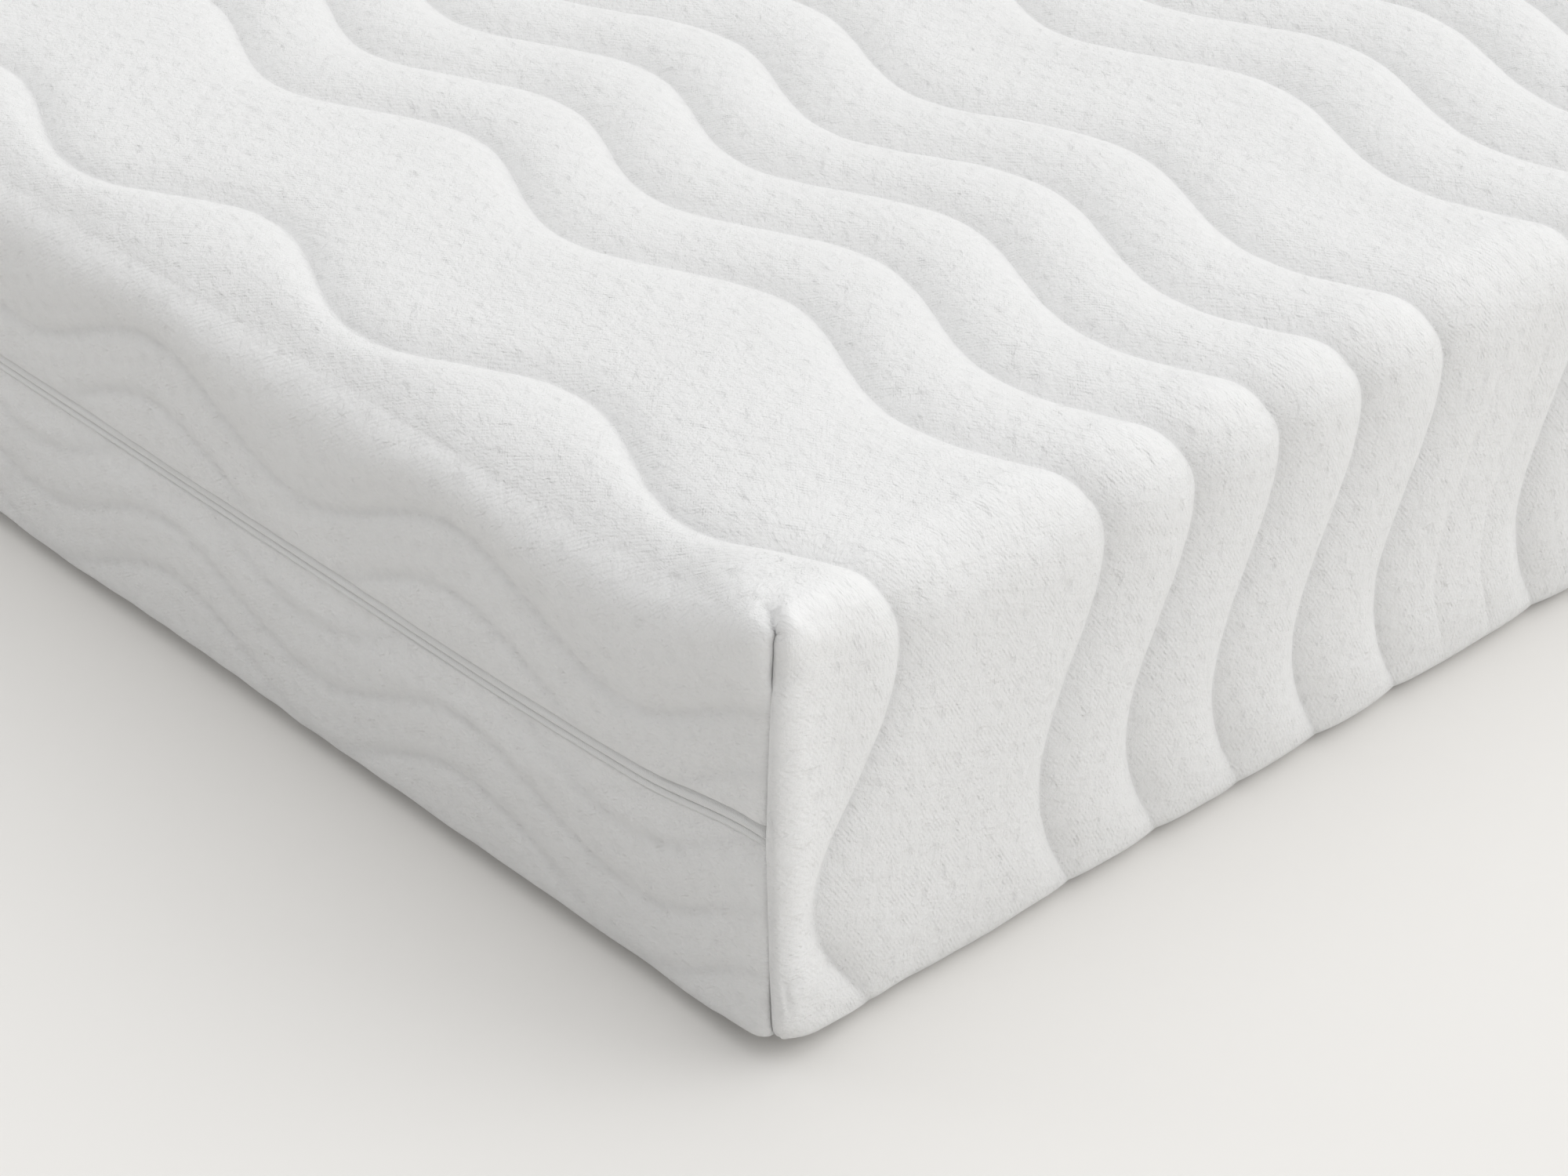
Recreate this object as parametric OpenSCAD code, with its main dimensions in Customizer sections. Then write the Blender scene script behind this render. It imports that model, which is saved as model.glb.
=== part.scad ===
// Memory foam mattress with a quilted, removable cover.
// Millimetres. The origin is the centre of the underside, +X points to the closed end
// of the cover, +Z is up. The cover is one wrap of quilted knit: it runs over the top,
// down the closed end and under the core, and a zip runs round its other three sides.

/* [Mattress] */
// Length of the mattress with its cover on
mattress_length = 2000; // [1800:10:2200]
// Width of the mattress with its cover on
mattress_width = 900; // [700:10:2000]
// Thickness of the mattress with its cover on
mattress_thickness = 180; // [150:5:260]
// Radius of the roll along the two long edges
side_edge_r = 35; // [28:1:50]
// Radius of the fold along the two end edges
end_edge_r = 22; // [20:1:40]
// Radius of the upright corners in plan
corner_r = 20; // [20:1:26]

/* [Foam core] */
// Thickness of the memory foam on top of the core
memory_foam_t = 50; // [30:5:80]
// Thickness of the knitted sleeve around both foams
sleeve_t = 0.6; // [0.4:0.1:1.5]
// Space between sleeve and cover at the sides, top and bottom
side_ease = 0.4; // [0.4:0.1:2]
// Space between sleeve and cover at the two ends, which the lifting cover needs
end_ease = 2.5; // [2.5:0.5:6]

/* [Cover] */
// Thickness of the knitted ticking
ticking_t = 1.5; // [1:0.1:1.6]
// Thickness of the wadding quilted behind the ticking
wadding_t = 9; // [9:0.5:12]
// Thickness of the backing cloth behind the wadding
backing_t = 0.5; // [0.3:0.1:1]
// Gap between the halves of the cover where the closed end folds
fold_gap = 0.3; // [0.3:0.1:1]
// Thickness of the seam allowance inside an upright corner
seam_w = 3; // [2:0.5:4]

/* [Zip] */
// Half of the height of the channel that the zip lies in
channel_half = 13; // [11:1:18]
// Depth of the fabric lips below the face of the cover
lip_depth = 5; // [5:0.5:5.5]
// Half of the slot between the two fabric lips
lip_slot_half = 3; // [2.5:0.5:4]
// Thickness of the woven zip tape
tape_t = 0.6; // [0.4:0.1:0.8]
// Half of the slot between the two tapes
tape_slot_half = 0.8; // [0.8:0.1:1.2]
// Height and depth of one row of the coil
coil_size = [2.4, 2]; // [1:0.1:3]
// Distance from the closed end to the end of the zip channel
zip_end_inset = 12; // [12:1:16]

/* [Slider] */
// Distance from the closed end to the slider's middle when the zip is shut
slider_inset = 40; // [38:1:80]
// Length of the slider's body along the zip
slider_length = 15; // [14:1:18]
// Height of the slider's body across the zip
slider_height = 9.2; // [9.2:0.1:10]
// Thickness of each of the slider's two plates
plate_t = [1.2, 0.9]; // [0.6:0.1:1.3]
// Length of the pull tab from its hinge to its tip
pull_length = 22; // [18:1:23]
// Height of the pull tab across the zip
pull_height = 7; // [6:0.5:8]
// Radius of the pull tab's hinge bar
pull_bar_r = 0.6; // [0.5:0.05:0.65]

/* [Hidden] */

arc_steps = 6;
mid_z = mattress_thickness / 2;
cover_t = ticking_t + wadding_t + backing_t;
sleeve_depth = cover_t + side_ease;
foam_depth = sleeve_depth + sleeve_t;
foam_split_z = mattress_thickness - foam_depth - memory_foam_t;

// Depths below the face of the cover, from the outside in
tape_depth = lip_depth + ticking_t;
coil_depth = tape_depth + tape_t;
coil_back_depth = coil_depth + coil_size[1];
running_gap = 0.4;
plate_depth = lip_depth - running_gap - plate_t[0];
back_plate_depth = coil_back_depth + 0.3;
bridge_depth = 0.3;
bridge_bar_t = 0.8;
bridge_reach = 4.5;
bridge_half_h = 1.2;
bridge_leg = 1.2;
pull_bar_depth = (bridge_depth + bridge_bar_t + plate_depth) / 2;

// Places along the zip and across it
zip_end_x = mattress_length / 2 - zip_end_inset;
tape_end_x = zip_end_x - 2 * ticking_t;
slider_x = mattress_length / 2 - slider_inset;
front_coil_end_x = tape_end_x - 5;
back_coil_end_x = slider_x - slider_length / 2 - 2.5;
stop_length = 3;
trim_half = channel_half + 2 * ticking_t;
tape_half = channel_half + ticking_t + 0.5;
slider_half_h = slider_height / 2;
post_half = 0.5;

knit_white = [0.93, 0.93, 0.92];
foam_cream = [0.94, 0.90, 0.78];
foam_blue_white = [0.88, 0.92, 0.95];
zip_white = [0.90, 0.90, 0.89];
metal = [0.72, 0.73, 0.75];

function quarter(cx, cy, r, start) = [
    for (i = [0:arc_steps]) let (a = start + 90 * i / arc_steps) [cx + r * cos(a), cy + r * sin(a)]
];
function rounded(w, h, r) = concat(
    quarter(w / 2 - r, h / 2 - r, r, 0),
    quarter(r - w / 2, h / 2 - r, r, 90),
    quarter(r - w / 2, r - h / 2, r, 180),
    quarter(w / 2 - r, r - h / 2, r, 270)
);

// The plan of the mattress, sunk by depth from its sides
module footprint(depth) {
    polygon(rounded(mattress_length - 2 * depth, mattress_width - 2 * depth, corner_r - depth));
}

// The rounded mattress, sunk by depth from every face and by ease more from its ends
module block(depth, ease = 0) {
    l = mattress_length - 2 * (depth + ease);
    w = mattress_width - 2 * depth;
    t = mattress_thickness - 2 * depth;
    translate([0, 0, mid_z]) intersection() {
        linear_extrude(t + 2, center = true) polygon(rounded(l, w, corner_r - depth));
        rotate([90, 0, 0]) linear_extrude(w + 2, center = true) polygon(rounded(l, t, end_edge_r - depth));
        rotate([90, 0, 90]) linear_extrude(l + 2, center = true) polygon(rounded(w, t, side_edge_r - depth));
    }
}

// A slab of space between two heights, wider than the mattress
module level(z_low, z_high) {
    translate([-mattress_length, -mattress_width, z_low])
        cube([2 * mattress_length, 2 * mattress_width, z_high - z_low]);
}

// The upper half of one layer of the cover, between two depths
module half_layer(outer, inner) {
    intersection() {
        difference() {
            block(outer);
            block(inner);
        }
        level(mid_z + fold_gap / 2, 2 * mattress_thickness);
    }
}

// A strip of the upright wall between two depths, two heights and two places along X;
// side is 1 for the back wall only, -1 for the front wall only and 0 for all of them
module wall_strip(outer, inner, low, high, x_low = -mattress_length, x_high = zip_end_x, side = 0) {
    y_low = side > 0 ? 0 : -mattress_width;
    y_high = side < 0 ? 0 : mattress_width;
    translate([0, 0, mid_z + low]) linear_extrude(high - low) intersection() {
        difference() {
            footprint(outer);
            footprint(inner);
        }
        translate([x_low, y_low]) square([x_high - x_low, y_high - y_low]);
    }
}

// Turns a piece of the upper half into its twin in the lower half
module flipped() {
    translate([0, 0, mattress_thickness]) mirror([0, 0, 1]) children();
}

// An upright rib in each corner, reaching inwards from the ticking
module corner_ribs(w, reach_in, reach_out) {
    for (sx = [-1, 1], sy = [-1, 1]) {
        low = sx > 0 ? mid_z + fold_gap / 2 : mid_z + trim_half;
        translate([sx * (mattress_length / 2 - corner_r), sy * (mattress_width / 2 - corner_r), low])
            rotate([0, 0, 90 - sx * sy * 45 - (sy < 0 ? 180 : 0)])
                translate([reach_in, -w / 2, 0])
                    cube([reach_out - reach_in, w, mattress_thickness - side_edge_r - low]);
    }
}

module memory_foam_layer() {
    color(foam_blue_white) intersection() {
        block(foam_depth, end_ease);
        level(foam_split_z, 2 * mattress_thickness);
    }
}

module support_foam_core() {
    color(foam_cream) intersection() {
        block(foam_depth, end_ease);
        level(-mattress_thickness, foam_split_z);
    }
}

module core_sleeve() {
    color(knit_white) difference() {
        block(sleeve_depth, end_ease);
        block(foam_depth, end_ease);
    }
}

module half_ticking() {
    lip_back = lip_depth + ticking_t;
    channel_top = channel_half + ticking_t;
    color(knit_white) union() {
        difference() {
            half_layer(0, ticking_t);
            wall_strip(-1, ticking_t + 1, -1, channel_half, x_high = zip_end_x - ticking_t);
        }
        wall_strip(0, lip_back, channel_half, channel_top);
        wall_strip(lip_depth, lip_back, lip_slot_half, channel_top);
        wall_strip(0, lip_back, fold_gap / 2, channel_top, x_low = zip_end_x - ticking_t);
    }
}

module half_wadding() {
    color(knit_white) difference() {
        half_layer(ticking_t, ticking_t + wadding_t);
        wall_strip(-1, cover_t + 1, -1, trim_half, x_high = zip_end_x + 1);
        corner_ribs(seam_w + 0.4, corner_r - ticking_t - wadding_t - 1, corner_r);
    }
}

module half_backing() {
    color(knit_white) difference() {
        half_layer(ticking_t + wadding_t, cover_t);
        wall_strip(-1, cover_t + 1, -1, trim_half, x_high = zip_end_x + 1);
    }
}

module half_corner_seams() {
    color(knit_white) corner_ribs(seam_w, corner_r - ticking_t - wadding_t + 0.5, corner_r - ticking_t - 0.5);
}

module half_tape() {
    color(zip_white) wall_strip(tape_depth, coil_depth, tape_slot_half, tape_half, x_high = tape_end_x);
}

module half_coil() {
    color(zip_white) {
        wall_strip(
            coil_depth, coil_back_depth, tape_slot_half, tape_slot_half + coil_size[0],
            x_high = front_coil_end_x, side = -1
        );
        wall_strip(
            coil_depth, coil_back_depth, tape_slot_half, tape_slot_half + coil_size[0],
            x_high = back_coil_end_x, side = 1
        );
    }
}

module half_stops() {
    front_x = front_coil_end_x + 0.5;
    back_x = slider_x + slider_length / 2 + 1;
    color(metal) {
        wall_strip(
            coil_depth, coil_back_depth - 0.5, tape_slot_half, tape_slot_half + coil_size[0],
            x_low = front_x, x_high = front_x + stop_length, side = -1
        );
        wall_strip(
            coil_depth, coil_back_depth - 0.5, tape_slot_half, tape_slot_half + coil_size[0],
            x_low = back_x, x_high = back_x + stop_length, side = 1
        );
    }
}

module upper_cover_ticking() half_ticking();
module upper_cover_wadding() half_wadding();
module upper_cover_backing() half_backing();
module upper_corner_seams() half_corner_seams();
module upper_zip_tape() half_tape();
module upper_zip_coil() half_coil();
module upper_zip_stops() half_stops();
module lower_cover_ticking() flipped() half_ticking();
module lower_cover_wadding() flipped() half_wadding();
module lower_cover_backing() flipped() half_backing();
module lower_corner_seams() flipped() half_corner_seams();
module lower_zip_tape() flipped() half_tape();
module lower_zip_coil() flipped() half_coil();
module lower_zip_stops() flipped() half_stops();

// Puts a piece drawn on the slider's own axes in place on the back wall: X runs along
// the zip from the slider's middle, Y is depth below the face of the cover, Z is up
module on_back_wall() {
    translate([slider_x, mattress_width / 2, mid_z]) mirror([0, 1, 0]) children();
}

// A slider plate with a rounded nose, between two depths
module slider_plate(outer, inner) {
    translate([0, inner, 0]) rotate([90, 0, 0]) linear_extrude(inner - outer) {
        translate([-slider_length / 2, -slider_half_h + 0.8])
            square([slider_length - slider_half_h, slider_height - 1.6]);
        translate([slider_length / 2 - slider_half_h, 0]) circle(slider_half_h, $fn = 48);
    }
}

module zip_slider_body() {
    back_depth = back_plate_depth + plate_t[1];
    flange_h = slider_half_h - 0.8 - tape_slot_half - coil_size[0] - 0.3;
    color(metal) on_back_wall() union() {
        slider_plate(plate_depth, plate_depth + plate_t[0]);
        slider_plate(back_plate_depth, back_depth);
        translate([0, plate_depth + 0.1, -post_half])
            cube([slider_length / 2 - 1, back_depth - plate_depth - 0.2, 2 * post_half]);
        for (side = [-1, 1]) {
            z_low = side > 0 ? slider_half_h - 0.8 - flange_h : 0.8 - slider_half_h;
            translate([-slider_length / 2, coil_depth + 0.3, z_low])
                cube([slider_length - slider_half_h, back_depth - coil_depth - 0.3, flange_h]);
        }
    }
}

module zip_slider_bridge() {
    color(metal) on_back_wall() difference() {
        translate([-bridge_reach, bridge_depth, -bridge_half_h])
            cube([2 * bridge_reach, plate_depth - bridge_depth, 2 * bridge_half_h]);
        translate([bridge_leg - bridge_reach, bridge_depth + bridge_bar_t, -bridge_half_h - 1])
            cube([2 * (bridge_reach - bridge_leg), plate_depth, 2 * bridge_half_h + 2]);
    }
}

module zip_pull_tab() {
    arm_h = pull_height / 2 - bridge_half_h - running_gap;
    tab_start = bridge_reach + 0.8;
    color(metal) on_back_wall() union() {
        translate([0, pull_bar_depth, -pull_height / 2]) cylinder(h = pull_height, r = pull_bar_r, $fn = 32);
        for (z_low = [-pull_height / 2, pull_height / 2 - arm_h])
            translate([-tab_start - 1, pull_bar_depth - pull_bar_r, z_low])
                cube([tab_start + 1, 2 * pull_bar_r, arm_h]);
        translate([0, pull_bar_depth + pull_bar_r, 0]) rotate([90, 0, 0]) linear_extrude(2 * pull_bar_r)
            difference() {
                union() {
                    translate([pull_height / 2 - pull_length, -pull_height / 2])
                        square([pull_length - pull_height / 2 - tab_start, pull_height]);
                    translate([pull_height / 2 - pull_length, 0]) circle(pull_height / 2, $fn = 48);
                }
                translate([pull_height / 2 - pull_length, 0]) circle(1.6, $fn = 32);
            }
    }
}

memory_foam_layer();
support_foam_core();
core_sleeve();
upper_cover_ticking();
upper_cover_wadding();
upper_cover_backing();
upper_corner_seams();
lower_cover_ticking();
lower_cover_wadding();
lower_cover_backing();
lower_corner_seams();
upper_zip_tape();
lower_zip_tape();
upper_zip_coil();
lower_zip_coil();
upper_zip_stops();
lower_zip_stops();
zip_slider_body();
zip_slider_bridge();
zip_pull_tab();
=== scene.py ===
"""Looks of a zip-off covered memory foam mattress: quilted cover, zip, lining, sleeve and foams, in metres.

The cover is laid out on the faces of its CAD box, where each point is easy to name. It is then rolled over
the edges of the box, puffed up between its quilting lines and pinched in at the corner seams.

The near end is at +X and has no zip. The faces are top, bottom, end (+X), far (-X), left (-Y) and right (+Y).
"""

import math

import bmesh
import bpy
import numpy as np
from mathutils import Matrix, Vector


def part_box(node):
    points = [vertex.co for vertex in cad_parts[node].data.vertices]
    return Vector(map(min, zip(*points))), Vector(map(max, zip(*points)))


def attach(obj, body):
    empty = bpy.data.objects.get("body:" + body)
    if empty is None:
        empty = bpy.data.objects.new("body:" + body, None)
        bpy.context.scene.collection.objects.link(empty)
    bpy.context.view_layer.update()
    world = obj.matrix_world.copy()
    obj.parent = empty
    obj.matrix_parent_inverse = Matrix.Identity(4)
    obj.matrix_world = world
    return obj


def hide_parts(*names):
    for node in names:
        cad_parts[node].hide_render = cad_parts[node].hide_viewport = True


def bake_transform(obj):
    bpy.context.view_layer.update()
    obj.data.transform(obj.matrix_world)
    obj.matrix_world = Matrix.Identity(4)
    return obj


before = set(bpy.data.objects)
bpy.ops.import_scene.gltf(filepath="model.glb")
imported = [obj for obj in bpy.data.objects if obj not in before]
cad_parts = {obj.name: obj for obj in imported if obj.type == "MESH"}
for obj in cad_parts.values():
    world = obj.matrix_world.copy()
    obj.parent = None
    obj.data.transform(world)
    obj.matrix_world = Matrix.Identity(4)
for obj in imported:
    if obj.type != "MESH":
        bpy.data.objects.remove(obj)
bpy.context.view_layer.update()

MM = 0.001

# ---- sizes, from the CAD model
END, SIDE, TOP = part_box("upper_cover_ticking")[1]
FOLD = (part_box("upper_cover_ticking")[0][2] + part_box("lower_cover_ticking")[1][2]) / 2
TAPE_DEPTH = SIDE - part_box("upper_zip_tape")[1][1]
TAPE_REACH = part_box("upper_zip_tape")[1][2] - FOLD
FOAM_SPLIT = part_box("memory_foam_layer")[0][2]
SLEEVE_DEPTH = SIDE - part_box("core_sleeve")[1][1] + 0.1 * MM
FOAM_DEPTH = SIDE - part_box("support_foam_core")[1][1] + 0.9 * MM
END_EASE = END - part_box("core_sleeve")[1][0] - (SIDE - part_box("core_sleeve")[1][1])
COIL_NEAR = (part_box("upper_zip_coil")[1][0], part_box("upper_zip_stops")[0][0] - 18.5 * MM)
LINING_DEPTH = 8.3 * MM

# ---- the cover's own shape
TOP_ROLL = (22 * MM, 38 * MM, 30 * MM)
BOTTOM_ROLL = (13 * MM, 22 * MM, 15 * MM)
CORNER_ROLL = 10 * MM
INNER_ROLL = 17 * MM
CORNER_REACH = 70 * MM
CORNER_TIGHTER = 0.7
END_ROLL = 22 * MM
SIDE_ROLL = 35 * MM
CROWN = 5 * MM
CROWN_RISE = 120 * MM
HAIR = 0.01 * MM  # keeps points that lie on the seam to one side of it
NEAR_LINE = 2.5 * MM
SEAM_IN = 8.5 * MM
SEAM_HEIGHTS = np.array([0, 25, 60, 95, 125, 150, 168, 180]) * MM
SEAM_LEANS = np.array([5.5, 5.2, 4.2, 3.4, 3.9, 5.2, 6.8, 7]) * MM
SEAM = END - SEAM_IN
SEAM_OVER = 17 * MM
SEAM_WIDTH = 1.5 * MM
SEAM_CUT = 5 * MM
ZIP_STOP = SEAM + 2.2 * MM
LIP_HIGH = FOLD + 5.5 * MM
LIP_LOW = FOLD - 3.5 * MM
RISE = 6 * MM
CORNER_PEAK = 6.5 * MM
CORNER_LIFT = 8 * MM
NECK = 12 * MM
BULGE = 4 * MM

LONG_SIDES = ("left", "right")

# ---- the knit: how the dimples repeat, in turns per metre (along, across)
LATTICE = ((-9.7 / 136 / MM, 6.2 / 136 / MM), (4.4 / 136 / MM, 11.2 / 136 / MM))

# ---- the quilting
WAVE = 14.5 * MM
WAVE_LENGTH = 187.7 * MM
WAVE_START = 8 * MM
PUFF = 6.5 * MM
EDGE_PUFF = 5.5 * MM
REST = 3 * MM
VALLEY_SLOPE = 0.72
PRESSED = 0.35
PRESSED_EDGE = 0.2
LINE_GAPS = (101, 48, 46.5, 46.5, 48.5, 89, 51.5, 50, 47, 48, 94, 47.5, 47.5, 47.5)
LINES = (11.9 + np.concatenate([[0], np.cumsum(LINE_GAPS)])) * MM
WIDE_BAND = 70 * MM
SHORT_LINES = [LINES[k] + share * (LINES[k + 1] - LINES[k]) for k in (5, 10) for share in (0.34, 0.67)]
SHORT_DIP = 1.0 * MM
SIDE_LINES = np.array([26, 53, 80, 107, 135]) * MM
SIDE_PUFF = 1.9 * MM
SIDE_HALF = 8 * MM
SPARE_HALF = 24 * MM


# ------------------------ small maths


def ramp(start, stop, x):
    """0 before start, 1 after stop, smooth between. start may be above stop."""
    t = np.clip((x - start) / (stop - start), 0, 1)
    return t * t * (3 - 2 * t)


def unit(v):
    return v / np.linalg.norm(v, axis=-1, keepdims=True)


def rumple(points, size, seed):
    """Smooth noise about -1 to 1, from crossing sine waves of about that size."""
    rng = np.random.default_rng(seed)
    total = np.zeros(len(points))
    for _ in range(9):
        direction = unit(rng.normal(size=3))
        length = size * rng.uniform(0.7, 1.6)
        total += np.sin(points @ direction * (2 * np.pi / length) + rng.uniform(0, 6.28))
    return total / 4


def spaced(start, stop, step):
    count = max(1, int(round(abs(stop - start) / step)))
    return np.linspace(start, stop, count + 1)


def crowded(start, stop, count):
    """Points that lie closer together towards both ends."""
    return start + (stop - start) * (0.5 - 0.5 * np.cos(np.linspace(0, np.pi, count + 1)))


def join(*runs):
    return np.unique(np.round(np.concatenate(runs), 7))


# ------------------------ from box to cover


def roll_over(q, flat_to_seam=False, inner=False):
    """Points of the box's faces, rolled over its edges, and the way out at each.

    The cover's long sides stay flat up to the corner seam, and the layers inside it have rounder corners.
    """
    top = ramp(TOP - TOP_ROLL[2], TOP, q[:, 2])
    bottom = ramp(BOTTOM_ROLL[2], 0, q[:, 2])
    radius = np.empty_like(q)
    for axis in (0, 1):
        radius[:, axis] = (
            CORNER_ROLL + (TOP_ROLL[axis] - CORNER_ROLL) * top + (BOTTOM_ROLL[axis] - CORNER_ROLL) * bottom
        )
    if inner:
        radius[:, :2] = np.maximum(radius[:, :2], INNER_ROLL)
    radius[:, 2] = np.where(q[:, 2] > FOLD, TOP_ROLL[2], BOTTOM_ROLL[2])
    at_corner = ramp(CORNER_REACH, 12 * MM, END - np.abs(q[:, 0]))
    at_corner = at_corner * ramp(CORNER_REACH, 12 * MM, SIDE - np.abs(q[:, 1]))
    if not inner:
        radius *= 1 - CORNER_TIGHTER * at_corner[:, None] * np.array([top, top, np.ones(len(q))]).T
    if flat_to_seam:
        beside = np.abs(q[:, 0]) < seam_at(q[:, 2]) - HAIR
        less = np.maximum(radius[:, 0] - (END - np.abs(q[:, 0])), 0) * ramp(8 * MM, 40 * MM, q[:, 2])
        radius[:, 0] -= np.where(beside, less * ramp(TOP - 6 * MM, TOP - 25 * MM, q[:, 2]), 0)
    centre = np.clip(q, np.array([-END, -SIDE, 0]) + radius, np.array([END, SIDE, TOP]) - radius)
    way = unit((q - centre) / radius)
    return centre + way * radius, unit(way / radius)


def over_edge(inward, radius):
    """Length from a rolled edge's tangent line, for points on the top face or the like."""
    return np.where(inward > radius, inward - radius, -radius * np.arctan((radius - inward) / radius))


def down_wall(down, radius):
    """The same length, for points on the wall below the edge."""
    on_roll = -radius * (np.pi / 2 - np.arctan((radius - down) / radius))
    return np.where(down > radius, -(radius * np.pi / 2 + down - radius), on_roll)


def along(q, face):
    """Length along the mattress from the near end's tangent line, down the end walls too."""
    full = 2 * (END - END_ROLL)
    wall = down_wall(TOP - q[:, 2], END_ROLL)
    if face == "end":
        return wall
    if face == "far":
        return full - wall
    near, far = over_edge(END - q[:, 0], END_ROLL), full - over_edge(END + q[:, 0], END_ROLL)
    flat = np.where(q[:, 0] > 0, near, far)
    if face == "bottom":
        edge = down_wall(TOP, END_ROLL)
        waves = round((2 * END - 2 * edge + full) / WAVE_LENGTH)
        return edge - (END - q[:, 0]) * (2 * edge - full + waves * WAVE_LENGTH) / (2 * END)
    if face in LONG_SIDES:
        flat = np.where(q[:, 0] > seam_at(q[:, 2]) + HAIR, wall, flat)
    return flat


def across(q, face):
    """Length across the mattress from the long side's tangent line, down the long sides too."""
    full = 2 * (SIDE - SIDE_ROLL)
    wall = down_wall(TOP - q[:, 2], SIDE_ROLL)
    if face in LONG_SIDES:
        corner = -SIDE_ROLL * np.pi / 4 - (END - q[:, 0])
        wall = np.where(q[:, 0] > seam_at(q[:, 2]) + HAIR, corner, wall)
        return wall if face == "left" else full - wall
    near, far = over_edge(SIDE + q[:, 1], SIDE_ROLL), full - over_edge(SIDE - q[:, 1], SIDE_ROLL)
    return np.where(q[:, 1] < 0, near, far)


def seam_at(z):
    """Where the corner seam lies along the mattress; it leans to the end wall near its top and bottom."""
    return SEAM + np.interp(z, SEAM_HEIGHTS, SEAM_LEANS)


def wave(s):
    return WAVE * np.sin(2 * np.pi * (s - WAVE_START) / WAVE_LENGTH + np.pi)


def neck(t, z):
    """How far the outermost line of the near end wall is drawn towards the corner seam, low on the wall."""
    return NECK * ramp(95 * MM, 25 * MM, t) * np.exp(-(((z - 58 * MM) / (45 * MM)) ** 2))


def drawn(q, face, t):
    """The same on any face; it fades out under the mattress."""
    if face == "end":
        return neck(t, q[:, 2])
    if face == "bottom":
        return neck(t, 0) * ramp(END - 40 * MM, END, q[:, 0])
    return np.zeros(len(q))


def puff(distance, half, height, slope=VALLEY_SLOPE):
    """Height of padding at a distance from its stitched line; half is how far off its top lies."""
    x = np.clip(distance / half, 0, 1)
    return height * (1 - (1 - x) ** np.maximum(slope * half / height, 1.5))


def between_lines(base, lines, height, slope=VALLEY_SLOPE):
    """(height of the padding, distance from the nearest line) between neighbouring lines."""
    k = np.clip(np.searchsorted(lines, base), 1, len(lines) - 1)
    half = (lines[k] - lines[k - 1]) / 2
    distance = half - np.abs(base - (lines[k] + lines[k - 1]) / 2)
    return puff(distance, half, height, slope), np.maximum(distance, 0)


def short_lines(base, z):
    """Dips of the faint extra lines on the end walls, which start a little below the top edge."""
    start = ramp(TOP - 18 * MM, TOP - 60 * MM, z)
    dip = sum(np.exp(-np.abs(base - at) / (4.2 * MM)) for at in SHORT_LINES)
    return SHORT_DIP * dip * start


def panel_quilting(q, face):
    """The long wavy lines of the top, the bottom and the end walls."""
    t, s = across(q, face), along(q, face)
    base = t - wave(s) + drawn(q, face, t)
    high, distance = between_lines(base, LINES, PUFF)
    if face in ("end", "far"):
        high = high - short_lines(base, q[:, 2])
    for outside in (LINES[0] - base, base - LINES[-1]):
        high = np.where(outside > 0, puff(outside, SPARE_HALF, EDGE_PUFF), high)
        distance = np.where(outside > 0, outside, distance)
    return high, distance


def side_quilting(q, face):
    """The fainter creases of the long sides, which fade out towards the corner seams."""
    z = q[:, 2]
    base = z - wave(along(q, face))
    distance = np.min(np.abs(base[:, None] - SIDE_LINES[None, :]), axis=1)
    low = puff(distance, SIDE_HALF, SIDE_PUFF, 0.6)
    above = base - SIDE_LINES[-1]
    rest = np.where(above > 0, SIDE_PUFF + (EDGE_PUFF - SIDE_PUFF) * ramp(0, SPARE_HALF, above), SIDE_PUFF)
    high = low + rest - SIDE_PUFF
    rest = SIDE_PUFF + (EDGE_PUFF - SIDE_PUFF) * ramp(SIDE_LINES[-1], SIDE_LINES[-1] + SPARE_HALF, z)
    near_seam = ramp(30 * MM, 5 * MM, SEAM - np.abs(q[:, 0]))
    return high + (rest - high) * near_seam, distance


def from_seam(q):
    """(length round the corner from the seam, below 0 on the long side; height over the top edge)."""
    inward = SIDE - np.abs(q[:, 1])
    seam = seam_at(q[:, 2])
    return np.abs(q[:, 0]) - seam + inward, q[:, 2] - TOP + inward * ramp(TOP - 20 * MM, TOP, q[:, 2])


def seam_pinch(q, face):
    """How far the corner seam draws the cloth in (below 0) or swells it (above 0)."""
    d, up = from_seam(q)
    z = q[:, 2]
    held = ramp(SEAM_OVER, SEAM_OVER - 9 * MM, up) * (0.25 + 0.75 * ramp(0, 14 * MM, z))
    if face == "bottom":
        held = held * ramp(12 * MM, 0, SIDE - np.abs(q[:, 1]))
    high = ramp(100 * MM, 150 * MM, z)
    cut = np.where(d < 0, np.exp(d / (SEAM_WIDTH * (1.15 + 0.75 * high))), np.exp(-d / (0.8 * SEAM_WIDTH)))
    swell = np.where(d > 0, ramp(0, 7 * MM, d) * ramp(34 * MM, 10 * MM, d), 0)
    return held * (2.0 * MM * swell - SEAM_CUT * (0.85 + 0.35 * high) * cut)


def puckers(q):
    """Small creases that fan out of the corner seam's top, and upright wrinkles low on the roll beside it."""
    d, up = from_seam(q)
    rise = SEAM_OVER - 4 * MM - up
    reach, turn = np.hypot(d, rise), np.arctan2(d, rise)
    fan = np.cos(turn * 5 + 0.8) * ramp(0, 5 * MM, reach) * np.exp(-reach / (7 * MM))
    low = np.exp(-(((q[:, 2] - 27 * MM) / (11 * MM)) ** 2)) * np.exp(-(((d - 8 * MM) / (5 * MM)) ** 2))
    upright = low * np.sin(d / (0.62 * MM) + q[:, 2] / (7 * MM))
    return 1.2 * MM * fan + 0.5 * MM * upright


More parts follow.
